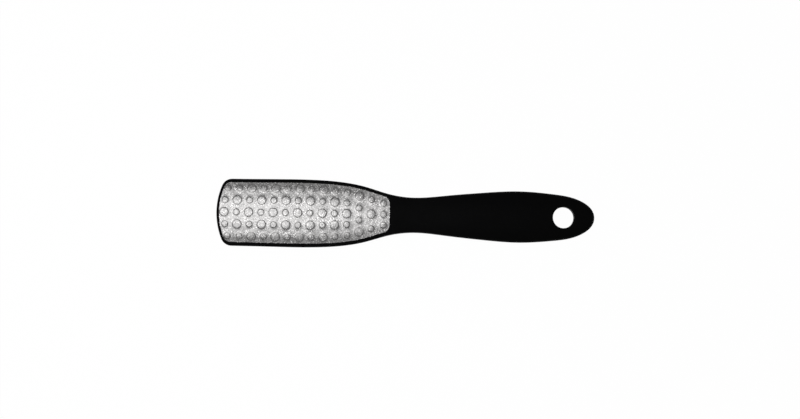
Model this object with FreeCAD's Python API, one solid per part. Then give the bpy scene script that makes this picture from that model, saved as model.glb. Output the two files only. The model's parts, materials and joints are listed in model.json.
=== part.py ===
# Foot file: a black paddle moulded as two shells, with a bumped coarse plate on its front
# and a plain fine plate on its back, each bonded into its pocket by an adhesive pad.
# Millimetres. X runs from the head to the grip, Y across, Z up through the front plate.
# Pieces are drawn about the seam plane, with X counted from the head's tip, and moved last.
import FreeCAD
import Part
import math
import os

from FreeCAD import Vector

# Outline in plan: the widths of the head, neck and grip, and how much wider or narrower it is
# at the stations beside them
NOSE_RADIUS = 49.0
CORNER_RADIUS = 7.0
HEAD_WIDTH = 44.9
NECK_WIDTH = 23.1
GRIP_WIDTH = 34.0
FRONT_NARROWING = 0.5
SHOULDER_NARROWING = 0.6
TAPER_NARROWING = 8.5
THROAT_WIDENING = 4.1
FLARE_WIDENING = 3.5
SWELL_NARROWING = 2.7
TAIL_NARROWING = 3.1
HEEL_NARROWING = 10.7

# Steps along the tool from one station of the outline to the next
TIP_TO_HEAD = 40.0
HEAD_TO_SHOULDER = 30.0
SHOULDER_TO_TAPER = 28.5
TAPER_TO_THROAT = 15.5
THROAT_TO_NECK = 17.0
NECK_TO_FLARE = 21.0
FLARE_TO_SWELL = 24.0
SWELL_TO_GRIP = 25.0
GRIP_TO_TAIL = 22.0
TAIL_TO_HEEL = 17.0
HEEL_TO_END = 10.0

# Thickness over both faces, at the head's sides and along the handle
HEAD_EDGE = 4.0
HEAD_CROWN_RISE = 4.6
NECK_THICKNESS = 11.6
GRIP_EDGE = 4.8
TAIL_THICKNESS = 10.6
FACE_RUN = 16.2

# Shell
WALL = 2.0
NOSE_EDGE_ROUND = 1.1
TAIL_EDGE_ROUND = 3.0
LEAST_CORNER = 0.5
SEAM_CHAMFER = 0.25
SIDE_RIM = 2.3
NOSE_RIM = 1.75
RIM_LIP_ROUND = 0.3
NOSE_SOLID = 8.0
HEAD_SIDE_SOLID = 5.0
WAIST_SOLID = 20.0
RIB = 1.4
RIB_PITCH = 16.0
HOLE_DIAMETER = 14.1
HOLE_FROM_END = 20.5
HOLE_EDGE_ROUND = 1.2
HOLE_SOLID = 7.0

# Pegs of the front shell in sockets of the rear one
PEG_DIAMETER = 3.0
PEG_LENGTH = 3.0
PEG_CHAMFER = 0.4
PEG_CLEARANCE = 0.05
PEG_END_GAP = 0.3
PEG_BOSS_WALL = 1.8
PEG_INSET = 24.0

# File plates and the pads behind them
SHEET = 0.5
PLATE_PROUD = 0.15
PLATE_END_AT = 114.6
PLATE_CORNER = 5.5
PLATE_GAP = 0.15
PAD = 0.3
PAD_INSET = 1.0
GLUE_GAP = 0.02

# Bumps pressed into the coarse plate: L is a large one, s a small one, from edge to edge of a column
BUMP_COLUMNS = (
    "ssLss", "sLsLs", "LsLsL", "sLsLs", "LsLsL", "sLsLs", "LsLsL",
    "sLsLs", "LsLsL", "sLsLs", "ssLss", "LssL", "sLs", "sss",
)
FIRST_COLUMN_AT = 5.1
BUMP_PITCH = 8.1
COLUMN_BOW_RADIUS = 57.0
BUMP_EDGE_MARGIN = 4.0
SHORT_COLUMN_MARGIN = 4.9
BUMP_LEAST_GAP = 1.5
LARGE_BUMP = 5.8
SMALL_BUMP = 4.2
BUMP_HEIGHT = 0.35
BUMP_ROOT = 0.25
DIMPLE_WALL = 0.6
DIMPLE_DRAFT = 0.3

# Room given to cutting shapes past the faces they cut, and the least length that counts
OVERCUT = 10.0
TOLERANCE = 1e-3

# Steps from the tip to the end, each with the tool's width where it leads, and the stations
# of the outline that they make on one side
STEPS = (
    (TIP_TO_HEAD, HEAD_WIDTH),
    (HEAD_TO_SHOULDER, HEAD_WIDTH - SHOULDER_NARROWING),
    (SHOULDER_TO_TAPER, HEAD_WIDTH - TAPER_NARROWING),
    (TAPER_TO_THROAT, NECK_WIDTH + THROAT_WIDENING),
    (THROAT_TO_NECK, NECK_WIDTH),
    (NECK_TO_FLARE, NECK_WIDTH + FLARE_WIDENING),
    (FLARE_TO_SWELL, GRIP_WIDTH - SWELL_NARROWING),
    (SWELL_TO_GRIP, GRIP_WIDTH),
    (GRIP_TO_TAIL, GRIP_WIDTH - TAIL_NARROWING),
    (TAIL_TO_HEEL, GRIP_WIDTH - HEEL_NARROWING),
    (HEEL_TO_END, 0.0),
)
FRONT_WIDTH = HEAD_WIDTH - FRONT_NARROWING
SIDE_STATIONS = [
    Vector(sum(step for step, _ in STEPS[: i + 1]), STEPS[i][1] / 2, 0) for i in range(len(STEPS))
]
LENGTH = SIDE_STATIONS[-1].x
GRIP_AT = LENGTH - HEEL_TO_END - TAIL_TO_HEEL - GRIP_TO_TAIL
HOLE_AT = LENGTH - HOLE_FROM_END

# Heights above the seam, and the radii that the faces are rounded to across the tool
HEAD_HALF_WIDTH = HEAD_WIDTH / 2
HANDLE_HALF_WIDTH = max(NECK_WIDTH, GRIP_WIDTH) / 2
FACE_HEIGHT = HEAD_EDGE / 2 + HEAD_CROWN_RISE
GRIP_CROWN_RISE = FACE_HEIGHT - GRIP_EDGE / 2
PLATE_CROWN = (HEAD_HALF_WIDTH**2 + HEAD_CROWN_RISE**2) / (2 * HEAD_CROWN_RISE)
GRIP_CROWN = ((GRIP_WIDTH / 2) ** 2 + GRIP_CROWN_RISE**2) / (2 * GRIP_CROWN_RISE)
CROWN_CENTRE = FACE_HEIGHT - PLATE_CROWN
RIM_CROWN = PLATE_CROWN - PLATE_PROUD
BED_CROWN = PLATE_CROWN - SHEET - PAD - 2 * GLUE_GAP
HALF_SPAN = max(HEAD_HALF_WIDTH, HANDLE_HALF_WIDTH) + WALL

# Rounding of the shell's outer edge, which takes this share of its radius from the wall below it
ROUND_SHARE = 0.7
NOSE_ROUND = min(NOSE_EDGE_ROUND, (HEAD_EDGE / 2 - PLATE_PROUD - SEAM_CHAMFER) / ROUND_SHARE)
TAIL_ROUND = min(TAIL_EDGE_ROUND, (GRIP_EDGE / 2 - SEAM_CHAMFER) / ROUND_SHARE)

# Hollows of a shell, from and to distances from the tip
HEAD_HOLLOW = (NOSE_SOLID, PLATE_END_AT - WAIST_SOLID / 2)
GRIP_HOLLOW = (PLATE_END_AT + WAIST_SOLID / 2, HOLE_AT - HOLE_DIAMETER / 2 - HOLE_SOLID)

X_AXIS = Vector(1, 0, 0)
Y_AXIS = Vector(0, 1, 0)
Z_AXIS = Vector(0, 0, 1)
SEAM_POINT = Vector(0, 0, 0)


def one_solid(shape):
    """The only solid of a shape, without leftover seams between its faces."""
    (solid,) = shape.removeSplitter().Solids
    return solid


def upright(edge):
    """Whether an edge stands square to the seam plane."""
    return math.hypot(edge.BoundBox.XLength, edge.BoundBox.YLength) < TOLERANCE


def corner_centre(side_inset, nose_inset, radius):
    """Centre of the front corner's arc, which touches both the nose's arc and the side."""
    y = FRONT_WIDTH / 2 - side_inset - radius
    reach = NOSE_RADIUS - nose_inset - radius
    return Vector(NOSE_RADIUS - math.sqrt(reach**2 - y**2), y, 0)


def smooth_side(points):
    """A curve that leaves the corner along the tool and meets its twin squarely at the end."""
    curve = Part.BSplineCurve()
    curve.interpolate(Points=points, InitialTangent=X_AXIS, FinalTangent=-Y_AXIS)
    return curve


def side_curve(side_inset, nose_inset, radius):
    """The outline's side on +Y, moved inwards by an inset."""
    start = corner_centre(0, 0, CORNER_RADIUS) + Y_AXIS * CORNER_RADIUS
    outer = smooth_side([start] + SIDE_STATIONS)
    moved = [corner_centre(side_inset, nose_inset, radius) + Y_AXIS * radius]
    for point in SIDE_STATIONS:
        along = outer.tangent(outer.parameter(point))[0]
        moved.append(point + Vector(along.y, -along.x, 0) * side_inset)
    return smooth_side(moved)


def across(point):
    """A point's twin on the other side of the tool."""
    return Vector(point.x, -point.y, point.z)


def outline_face(side_inset=0.0, nose_inset=0.0):
    """The tool's outline in plan as a flat face on the seam plane."""
    radius = max(CORNER_RADIUS - side_inset, LEAST_CORNER)
    centre = corner_centre(side_inset, nose_inset, radius)
    nose_centre = Vector(NOSE_RADIUS, 0, 0)
    outward = (centre - nose_centre).normalize()
    nose_end = nose_centre + outward * (NOSE_RADIUS - nose_inset)
    corner_middle = centre + (outward + Y_AXIS).normalize() * radius
    side_start = centre + Y_AXIS * radius
    upper = side_curve(side_inset, nose_inset, radius)
    lower = upper.copy()
    lower.mirror(SEAM_POINT, X_AXIS)
    edges = [
        Part.Arc(across(nose_end), Vector(nose_inset, 0, 0), nose_end).toShape(),
        Part.Arc(nose_end, corner_middle, side_start).toShape(),
        upper.toShape(),
        lower.toShape(),
        Part.Arc(across(side_start), across(corner_middle), across(nose_end)).toShape(),
    ]
    return Part.Face(Part.Wire(Part.__sortEdges__(edges)))


def outline_prism(side_inset=0.0, nose_inset=0.0):
    """The outline raised from the seam plane to above every face."""
    return outline_face(side_inset, nose_inset).extrude(Z_AXIS * (FACE_HEIGHT + OVERCUT))


def bevelled_prism():
    """The outline raised from the seam plane, with a small bevel round its foot."""
    foot = outline_face(SEAM_CHAMFER, SEAM_CHAMFER).OuterWire
    base = outline_face().translated(Z_AXIS * SEAM_CHAMFER)
    bevel = Part.makeLoft([foot, base.OuterWire], True, True)
    return one_solid(bevel.fuse(base.extrude(Z_AXIS * (FACE_HEIGHT + OVERCUT))))


def slab(x_from, x_to, width=2 * (HALF_SPAN + OVERCUT)):
    """Everything between two distances from the head's tip, or a strip of it along the middle."""
    height = 2 * (FACE_HEIGHT + OVERCUT)
    return Part.makeBox(x_to - x_from, width, height, Vector(x_from, -width / 2, -height / 2))


def crown_cylinder(radius):
    """The round face of the head, on the axis that the plate, its pad and their bed share."""
    start = Vector(-OVERCUT, 0, CROWN_CENTRE)
    return Part.makeCylinder(radius, LENGTH + 2 * OVERCUT, start, X_AXIS)


def eased(at, stations):
    """A value that stays level at each station and eases from one to the next."""
    if at <= stations[0][0]:
        return stations[0][1]
    for (x_from, low), (x_to, high) in zip(stations, stations[1:]):
        if at <= x_to:
            share = (at - x_from) / (x_to - x_from)
            return low + (high - low) * share * share * (3 - 2 * share)
    return stations[-1][1]


def face_height(at):
    """Height of the shell's face over the seam, along the middle of the tool."""
    stations = (
        (PLATE_END_AT, FACE_HEIGHT - PLATE_PROUD),
        (PLATE_END_AT + FACE_RUN, NECK_THICKNESS / 2),
        (GRIP_AT, FACE_HEIGHT),
        (LENGTH, TAIL_THICKNESS / 2),
    )
    return eased(at, stations)


def face_crown(at):
    """Radius of the shell's face across the tool."""
    return eased(at, ((PLATE_END_AT, RIM_CROWN), (PLATE_END_AT + FACE_RUN, GRIP_CROWN)))


def face_reach(at):
    """How far the shell's face is drawn to each side of the middle: a little past the outline."""
    head_reach = HEAD_HALF_WIDTH + WALL
    handle_reach = HANDLE_HALF_WIDTH + WALL
    return eased(at, ((PLATE_END_AT, head_reach), (PLATE_END_AT + FACE_RUN, handle_reach)))


def crown_form(lowered=0.0):
    """The shell's face from head to end, as a solid below it, lowered by a wall for a hollow."""
    columns = 61
    rows = 9
    grid = []
    for i in range(columns):
        at = -OVERCUT + (LENGTH + 2 * OVERCUT) * i / (columns - 1)
        radius = face_crown(at) - lowered
        line = []
        for j in range(rows):
            y = face_reach(at) * (2 * j / (rows - 1) - 1)
            drop = radius - math.sqrt(radius**2 - y**2)
            line.append(Vector(at, y, face_height(at) - lowered - drop))
        grid.append(line)
    surface = Part.BSplineSurface()
    surface.interpolate(grid)
    return surface.toShape().extrude(-Z_AXIS * (2 * FACE_HEIGHT + OVERCUT))


def rounded_block():
    """Half of the paddle above the seam, solid, with its upper edge rounded more towards the end."""
    block = one_solid(bevelled_prism().common(crown_form()))
    document = FreeCAD.newDocument("rounding")
    base = document.addObject("Part::Feature", "block")
    base.Shape = block
    fillet = document.addObject("Part::Fillet", "rounded")
    fillet.Base = base
    numbered = [
        (number, edge)
        for number, edge in enumerate(block.Edges, start=1)
        if edge.BoundBox.ZMin > SEAM_CHAMFER + TOLERANCE and not upright(edge)
    ]
    # The rounding runs once round the tool the way that its first edge, the nose, points,
    # so it meets one side from the nose and comes back along the other from the end
    numbered.sort(key=lambda item: item[1].CenterOfMass.x)
    nose = numbered[0][1]
    first_side = nose.valueAt(nose.LastParameter).y
    rounds = []
    for number, edge in numbered:
        radii = [NOSE_ROUND, NOSE_ROUND]
        if edge.BoundBox.XMax > GRIP_AT:
            radii[0 if edge.CenterOfMass.y * first_side < 0 else 1] = TAIL_ROUND
        rounds.append((number, *radii))
    fillet.Edges = rounds
    document.recompute()
    rounded = fillet.Shape.copy()
    FreeCAD.closeDocument(document.Name)
    return rounded


def plate_prism(gap=0.0):
    """A plate's pocket in plan, raised from the seam plane, or what fits in it with a gap all round."""
    end = PLATE_END_AT - gap
    prism = one_solid(outline_prism(SIDE_RIM + gap, NOSE_RIM + gap).common(slab(-OVERCUT, end)))
    corners = [edge for edge in prism.Edges if upright(edge) and edge.BoundBox.XMax > end - TOLERANCE]
    return prism.makeFillet(PLATE_CORNER - gap, corners)


def peg_stations():
    """Distances from the tip at which pegs join the shells: near both ends of each hollow."""
    return [
        at for start, end in (HEAD_HOLLOW, GRIP_HOLLOW) for at in (start + PEG_INSET, end - PEG_INSET)
    ]


def upright_cylinder(at, radius, z_from, z_to):
    """A round pin, boss or hole on the tool's middle line."""
    return Part.makeCylinder(radius, z_to - z_from, Vector(at, 0, z_from))


def cells(hollow, span):
    """A hollow with its ribs and the pegs' bosses left standing, which parts it into cells."""
    start, end = span
    count = int((end - start) / RIB_PITCH)
    first = (start + end - (count - 1) * RIB_PITCH - RIB) / 2
    ribs = [slab(start, end, RIB)]
    ribs += [slab(first + i * RIB_PITCH, first + i * RIB_PITCH + RIB) for i in range(count)]
    boss = PEG_DIAMETER / 2 + PEG_BOSS_WALL
    bosses = [upright_cylinder(at, boss, -OVERCUT, FACE_HEIGHT + OVERCUT) for at in peg_stations()]
    return hollow.common(slab(start, end)).cut(ribs + bosses)


def on_hole(edge):
    """Whether an edge goes round the hanging hole."""
    start = edge.valueAt(edge.FirstParameter)
    away = math.hypot(start.x - HOLE_AT, start.y)
    return abs(away - HOLE_DIAMETER / 2) < TOLERANCE and not upright(edge)


def on_lip(edge, opening):
    """Whether an edge goes round a pocket's opening at the level of the rim."""
    middle = edge.valueAt((edge.FirstParameter + edge.LastParameter) / 2)
    from_axis = math.hypot(middle.y, middle.z - CROWN_CENTRE)
    above_bed = from_axis > (BED_CROWN + RIM_CROWN) / 2
    return above_bed and not upright(edge) and opening.isInside(middle, TOLERANCE, True)


def shell_blank():
    """A shell's walls, ribs, pocket and hanging hole, before pegs or sockets."""
    opening = plate_prism()
    pocket = opening.cut(crown_cylinder(BED_CROWN))
    head_hollow = outline_prism(HEAD_SIDE_SOLID, HEAD_SIDE_SOLID).common(crown_cylinder(BED_CROWN - WALL))
    grip_hollow = outline_prism(WALL, WALL).common(crown_form(WALL))
    hole = upright_cylinder(HOLE_AT, HOLE_DIAMETER / 2, -OVERCUT, FACE_HEIGHT + OVERCUT)
    pierced = rounded_block().cut([pocket, hole])
    mouth = [edge for edge in pierced.Edges if edge.BoundBox.ZMin > TOLERANCE and on_hole(edge)]
    pierced = pierced.makeFillet(HOLE_EDGE_ROUND, mouth)
    lip = [edge for edge in pierced.Edges if on_lip(edge, opening)]
    pierced = pierced.makeFillet(RIM_LIP_ROUND, lip)
    return one_solid(pierced.cut([cells(head_hollow, HEAD_HOLLOW), cells(grip_hollow, GRIP_HOLLOW)]))


def peg(at):
    """A peg that stands out of the front shell's boss, with its tip chamfered."""
    pin = upright_cylinder(at, PEG_DIAMETER / 2, -PEG_LENGTH, WALL)
    tip = [edge for edge in pin.Edges if edge.BoundBox.ZMax < TOLERANCE - PEG_LENGTH]
    return pin.makeChamfer(PEG_CHAMFER, tip)


def socket(at):
    """The hole in the rear shell that a peg goes into."""
    depth = PEG_LENGTH + PEG_END_GAP
    return upright_cylinder(at, PEG_DIAMETER / 2 + PEG_CLEARANCE, -depth, OVERCUT)


def sheet(gap, outer, inner):
    """A curved sheet between two radii that fits a plate's pocket with a gap all round."""
    return one_solid(plate_prism(gap).common(crown_cylinder(outer)).cut(crown_cylinder(inner)))


def bump_places():
    """Distance from the tip, offset from the middle line and radius of each bump."""
    side_inset = SIDE_RIM + PLATE_GAP
    corner = max(CORNER_RADIUS - side_inset, LEAST_CORNER)
    side = side_curve(side_inset, NOSE_RIM + PLATE_GAP, corner)
    full = max(len(pattern) for pattern in BUMP_COLUMNS)
    least_step = (LARGE_BUMP + SMALL_BUMP) / 2 + BUMP_LEAST_GAP
    places = []
    for i, pattern in enumerate(BUMP_COLUMNS):
        at = FIRST_COLUMN_AT + i * BUMP_PITCH
        if at > PLATE_END_AT - BUMP_EDGE_MARGIN:
            break
        station = Vector(max(at, side.StartPoint.x + TOLERANCE), 0, 0)
        line = Part.LineSegment(station, station + Y_AXIS * 2 * HALF_SPAN)
        (edge_point,) = side.intersectCC(line)
        margin = BUMP_EDGE_MARGIN if len(pattern) == full else SHORT_COLUMN_MARGIN
        outermost = edge_point.Y - margin
        column = pattern[: 1 + int(2 * outermost / least_step)]
        bow = (1 - i / (len(BUMP_COLUMNS) - 1)) / (2 * COLUMN_BOW_RADIUS)
        middle = (len(column) - 1) / 2
        for j, size in enumerate(column):
            y = outermost * (j - middle) / max(middle, 0.5)
            places.append((at + bow * y**2, y, (LARGE_BUMP if size == "L" else SMALL_BUMP) / 2))
    return places


def on_crown(shape, x, y):
    """Moves a shape drawn at the origin, upright, onto the plate's face, square to it."""
    tilt = math.degrees(math.asin(y / PLATE_CROWN))
    face = Vector(x, y, CROWN_CENTRE + math.sqrt(PLATE_CROWN**2 - y**2))
    shape.Placement = FreeCAD.Placement(face, FreeCAD.Rotation(X_AXIS, -tilt))
    return shape


def button(radius):
    """A flat-topped bump with a quarter-round shoulder and a root that sinks into the sheet."""
    shoulder = radius - BUMP_HEIGHT
    bow = BUMP_HEIGHT / math.sqrt(2)
    root = Vector(radius, 0, -BUMP_ROOT)
    wall_top = Vector(radius, 0, 0)
    round_top = Vector(shoulder, 0, BUMP_HEIGHT)
    top = Vector(0, 0, BUMP_HEIGHT)
    floor = Vector(0, 0, -BUMP_ROOT)
    profile = Part.Wire(
        [
            Part.makeLine(floor, root),
            Part.makeLine(root, wall_top),
            Part.Arc(wall_top, Vector(shoulder + bow, 0, bow), round_top).toShape(),
            Part.makeLine(round_top, top),
            Part.makeLine(top, floor),
        ]
    )
    return Part.Face(profile).revolve(SEAM_POINT, Z_AXIS, 360)


def dimple(radius):
    """The hollow behind a bump that the press leaves."""
    mouth = radius - DIMPLE_WALL
    start = Vector(0, 0, -SHEET - BUMP_ROOT)
    return Part.makeCone(mouth, mouth - DIMPLE_DRAFT, BUMP_ROOT + BUMP_HEIGHT, start)


def coarse_plate():
    """The front plate: a curved sheet with bumps pressed out of it."""
    plate = sheet(PLATE_GAP, PLATE_CROWN, PLATE_CROWN - SHEET)
    bumps = [on_crown(button(radius), x, y) for x, y, radius in bump_places()]
    dimples = [on_crown(dimple(radius), x, y) for x, y, radius in bump_places()]
    return one_solid(plate.fuse(bumps).cut(dimples))


def fine_plate():
    """The rear plate, plain, drawn facing up as the front one is."""
    return sheet(PLATE_GAP, PLATE_CROWN, PLATE_CROWN - SHEET)


def adhesive_pad():
    """The pad between a plate and the bed of its pocket."""
    return sheet(PLATE_GAP + PAD_INSET, PLATE_CROWN - SHEET - GLUE_GAP, BED_CROWN + GLUE_GAP)


def turned_over(shape):
    """A piece's twin on the other face of the tool."""
    return shape.mirror(SEAM_POINT, Z_AXIS)


blank = shell_blank()
pad = adhesive_pad()
pieces = {
    "front_shell": one_solid(blank.fuse([peg(at) for at in peg_stations()])),
    "rear_shell": one_solid(turned_over(blank).cut([socket(at) for at in peg_stations()])),
    "front_file_plate": coarse_plate(),
    "rear_file_plate": turned_over(fine_plate()),
    "front_adhesive_pad": pad,
    "rear_adhesive_pad": turned_over(pad),
}

os.makedirs("parts", exist_ok=True)
for name, piece in pieces.items():
    piece.translate(Vector(-LENGTH / 2, 0, FACE_HEIGHT))
    piece.exportStep(f"parts/{name}.step")
    print(f"{name}: {piece.Volume:.0f} cubic millimetres")
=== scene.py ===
# %% [markdown]
# Dressing a foot file
#
# A foot file is a flat paddle with a rough metal plate bonded into each face: a coarse one with
# raised bumps on the front, a plain fine one on the back. The paddle is two black moulded shells.
# The shells come from the frame with their true shape, so here they only get their finish. The
# plates are made again, because their look is all in what the frame leaves out: bumps pressed
# from thin sheet with soft shoulders, and thousands of grains of grit.

# %% Load the frame
import json
import math
import random

import bmesh
import bpy
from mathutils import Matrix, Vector
from mathutils.geometry import delaunay_2d_cdt

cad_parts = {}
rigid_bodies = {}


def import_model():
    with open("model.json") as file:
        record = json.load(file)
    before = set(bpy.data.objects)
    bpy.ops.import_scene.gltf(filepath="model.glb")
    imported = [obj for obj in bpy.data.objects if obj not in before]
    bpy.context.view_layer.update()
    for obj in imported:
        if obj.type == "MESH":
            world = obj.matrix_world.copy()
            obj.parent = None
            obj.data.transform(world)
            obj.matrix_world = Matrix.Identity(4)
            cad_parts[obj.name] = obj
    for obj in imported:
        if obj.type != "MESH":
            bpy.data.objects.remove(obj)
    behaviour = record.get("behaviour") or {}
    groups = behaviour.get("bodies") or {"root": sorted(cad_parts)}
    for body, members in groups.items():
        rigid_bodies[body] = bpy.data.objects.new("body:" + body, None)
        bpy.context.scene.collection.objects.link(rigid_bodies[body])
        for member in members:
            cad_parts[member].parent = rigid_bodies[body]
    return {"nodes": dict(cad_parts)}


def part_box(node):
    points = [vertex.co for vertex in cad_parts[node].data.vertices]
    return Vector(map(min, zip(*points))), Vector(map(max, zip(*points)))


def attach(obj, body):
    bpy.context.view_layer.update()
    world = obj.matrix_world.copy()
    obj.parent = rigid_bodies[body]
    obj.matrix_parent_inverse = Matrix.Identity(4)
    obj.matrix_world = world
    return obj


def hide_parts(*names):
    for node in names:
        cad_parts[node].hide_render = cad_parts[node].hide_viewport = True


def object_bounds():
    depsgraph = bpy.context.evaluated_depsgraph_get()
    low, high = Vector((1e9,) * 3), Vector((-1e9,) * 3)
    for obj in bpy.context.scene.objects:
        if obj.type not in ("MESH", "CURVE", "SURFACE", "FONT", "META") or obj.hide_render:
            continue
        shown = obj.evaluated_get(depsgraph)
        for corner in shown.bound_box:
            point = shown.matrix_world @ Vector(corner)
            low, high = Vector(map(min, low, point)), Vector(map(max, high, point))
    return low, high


for leftover in list(bpy.data.objects):
    bpy.data.objects.remove(leftover)
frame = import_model()
cad_low, cad_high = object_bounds()
MM = 0.001
print("nodes in the frame:", sorted(frame["nodes"]))
print("box in millimetres:", [round(v / MM, 2) for v in (*cad_low, *cad_high)])

# %% [markdown]
# The camera
#
# The tool was photographed lying down, from nearly straight above, a little askew and a little
# right of and below the middle of the picture. The bumps, which stand highest, appear a little
# further up than the outline below them, so the camera stood a few degrees towards the lower edge.
# A long lens from far away keeps the sides of the tool hidden, as they are there. Its focal length
# follows from one known length: the tool measures so many pixels from tip to end.

# %% Camera above the tool
IMAGE_WIDTH = 800
IMAGE_HEIGHT = 419
TOOL_LENGTH_PIXELS = 377.0
TOOL_CENTRE_PIXEL = (405.5, 215.17)
TOOL_ASKEW = math.radians(0.963)
CAMERA_TILT = math.radians(2.9)
CAMERA_DISTANCE = 1.6

pixel = (cad_high.x - cad_low.x) / TOOL_LENGTH_PIXELS
seam_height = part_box("rear_shell")[1].z
image_right = Vector((math.cos(TOOL_ASKEW), math.sin(TOOL_ASKEW), 0))
image_up = Vector((-math.sin(TOOL_ASKEW), math.cos(TOOL_ASKEW), 0))
from_centre_right = (IMAGE_WIDTH / 2 - TOOL_CENTRE_PIXEL[0]) * pixel
from_centre_up = (TOOL_CENTRE_PIXEL[1] - IMAGE_HEIGHT / 2) * pixel

camera_data = bpy.data.cameras.new("overhead_camera")
camera_data.lens = camera_data.sensor_width * CAMERA_DISTANCE / (IMAGE_WIDTH * pixel)
camera = bpy.data.objects.new("overhead_camera", camera_data)
camera.location = image_right * from_centre_right + image_up * from_centre_up
camera.location -= image_up * math.sin(CAMERA_TILT) * CAMERA_DISTANCE
camera.location.z = seam_height + math.cos(CAMERA_TILT) * CAMERA_DISTANCE
camera.rotation_euler = (CAMERA_TILT, 0, TOOL_ASKEW)
bpy.context.collection.objects.link(camera)
bpy.context.scene.camera = camera
bpy.context.scene.view_settings.view_transform = "Standard"
print(f"lens {camera_data.lens:.1f} mm, {pixel / MM:.4f} mm to a pixel")

# %% [markdown]
# Light
#
# The bumped plate shows what lit it. It is curved across, so each strip of it mirrors another part
# of the ceiling. Its middle is bright and its two long edges are dark: one soft light hung overhead,
# and the room beyond it was dim. The plate also dims towards the neck, and the handle mirrors no
# light at all, so the light hung over the head's tip. A round area light there does the same, and
# its width sets where the bright band ends. Steep sides of bumps mirror the room's walls and are
# darker than flat places that mirror its ceiling, so the room darkens downwards.

# %% Soft light overhead
LIGHT_HEIGHT = 0.30
LIGHT_DIAMETER = 0.355
LIGHT_BEYOND_TIP = 0.055
LIGHT_ASIDE = 0.009
LIGHT_RADIANCE = 2.29
CEILING_GREY = 0.76
WALL_GREY = 0.05

light_data = bpy.data.lights.new("overhead_softbox", "AREA")
light_data.shape = "DISK"
light_data.size = LIGHT_DIAMETER
light_data.energy = LIGHT_RADIANCE * math.pi * math.pi * (LIGHT_DIAMETER / 2) ** 2
light = bpy.data.objects.new("overhead_softbox", light_data)
light.location = (cad_low.x - LIGHT_BEYOND_TIP, LIGHT_ASIDE, LIGHT_HEIGHT)
light.visible_camera = False
bpy.context.collection.objects.link(light)

print(f"light of {light_data.energy:.2f} W over the tip")

# %% [markdown]
# Materials, wired by hand
#
# A material here is a small net of nodes. Three helpers keep the wiring short: one adds a node
# with its settings, one does a sum on sockets and numbers, and one starts a material with its
# Principled shader. Every pattern is laid out on Object coordinates, so it stays put on the piece.

# %% Helpers for node trees
def add(tree, kind, settings=None, values=None):
    """A node of a kind, with its settings and the values of its unlinked inputs."""
    node = tree.nodes.new(kind)
    for name, value in (settings or {}).items():
        setattr(node, name, value)
    for name, value in (values or {}).items():
        node.inputs[name].default_value = value
    return node


def math_node(tree, operation, first, second=None):
    """Output of a Math node, whose two operands are sockets or numbers."""
    node = add(tree, "ShaderNodeMath", {"operation": operation})
    for socket, operand in zip(node.inputs, (first, second)):
        if isinstance(operand, bpy.types.NodeSocket):
            tree.links.new(operand, socket)
        elif operand is not None:
            socket.default_value = operand
    return node.outputs[0]


def start_material(name):
    """A new material, with its tree, its Principled shader and the piece's own coordinates."""
    material = bpy.data.materials.new(name)
    material.use_nodes = True
    tree = material.node_tree
    place = add(tree, "ShaderNodeTexCoord").outputs["Object"]
    return material, tree, tree.nodes["Principled BSDF"], place


# %% Dim room
def dim_room():
    """A world that darkens from its ceiling down to its walls."""
    room = bpy.data.worlds.new("dim_room")
    room.use_nodes = True
    tree = room.node_tree
    ahead = add(tree, "ShaderNodeTexCoord").outputs["Generated"]
    height = add(tree, "ShaderNodeSeparateXYZ")
    grey = add(tree, "ShaderNodeMapRange", values={"To Min": WALL_GREY, "To Max": CEILING_GREY})
    tree.links.new(ahead, height.inputs["Vector"])
    tree.links.new(height.outputs["Z"], grey.inputs["Value"])
    tree.links.new(grey.outputs["Result"], tree.nodes["Background"].inputs["Color"])
    return room


bpy.context.scene.world = dim_room()
print(f"room from {WALL_GREY} at its walls to {CEILING_GREY} at its ceiling")

# %% [markdown]
# The floor
#
# The tool lies on seamless white paper. In a studio that is a sheet that sweeps up at the back,
# and here it sweeps up all round, so that every view has the same plain ground. The camera and
# the mirror-like parts see it as clean white. All other light meets an ordinary matt surface,
# which keeps a soft shadow under the tool.

# %% White paper
PAPER_FIBRES = 900.0
PAPER_GREY = 0.80
PAPER_WHITE = 0.82
PAPER_CLEAN = 0.985
PAPER_ROUGHNESS = 0.9
PAPER_GLOSS = 0.1


def paper_material():
    """Matt paper that the camera and reflections see as nearly clean white."""
    material, tree, shader, place = start_material("white_paper")
    fibre = add(tree, "ShaderNodeTexNoise", values={"Scale": PAPER_FIBRES, "Detail": 3.0})
    tone = add(tree, "ShaderNodeMapRange", values={"To Min": PAPER_GREY, "To Max": PAPER_WHITE})
    clean = add(tree, "ShaderNodeEmission", values={"Color": (1, 1, 1, 1), "Strength": 1.0})
    seen = add(tree, "ShaderNodeLightPath")
    straight = math_node(tree, "MAXIMUM", seen.outputs["Is Camera Ray"], seen.outputs["Is Glossy Ray"])
    straight = math_node(tree, "MAXIMUM", straight, seen.outputs["Is Transmission Ray"])
    share = math_node(tree, "MULTIPLY", straight, PAPER_CLEAN)
    mix = add(tree, "ShaderNodeMixShader")
    tree.links.new(place, fibre.inputs["Vector"])
    tree.links.new(fibre.outputs["Fac"], tone.inputs["Value"])
    tree.links.new(tone.outputs["Result"], shader.inputs["Base Color"])
    tree.links.new(share, mix.inputs["Fac"])
    tree.links.new(shader.outputs["BSDF"], mix.inputs[1])
    tree.links.new(clean.outputs["Emission"], mix.inputs[2])
    tree.links.new(mix.outputs["Shader"], tree.nodes["Material Output"].inputs["Surface"])
    shader.inputs["Roughness"].default_value = PAPER_ROUGHNESS
    shader.inputs["Specular IOR Level"].default_value = PAPER_GLOSS
    return material


WHITE_PAPER = paper_material()
print("floor in", WHITE_PAPER.name)

# %% Paper sweep
SWEEP_FLAT = 6.0
SWEEP_CURVE = 0.6
SWEEP_WALL = 0.5
SWEEP_SIDES = 96
SWEEP_STEPS = 12


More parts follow.
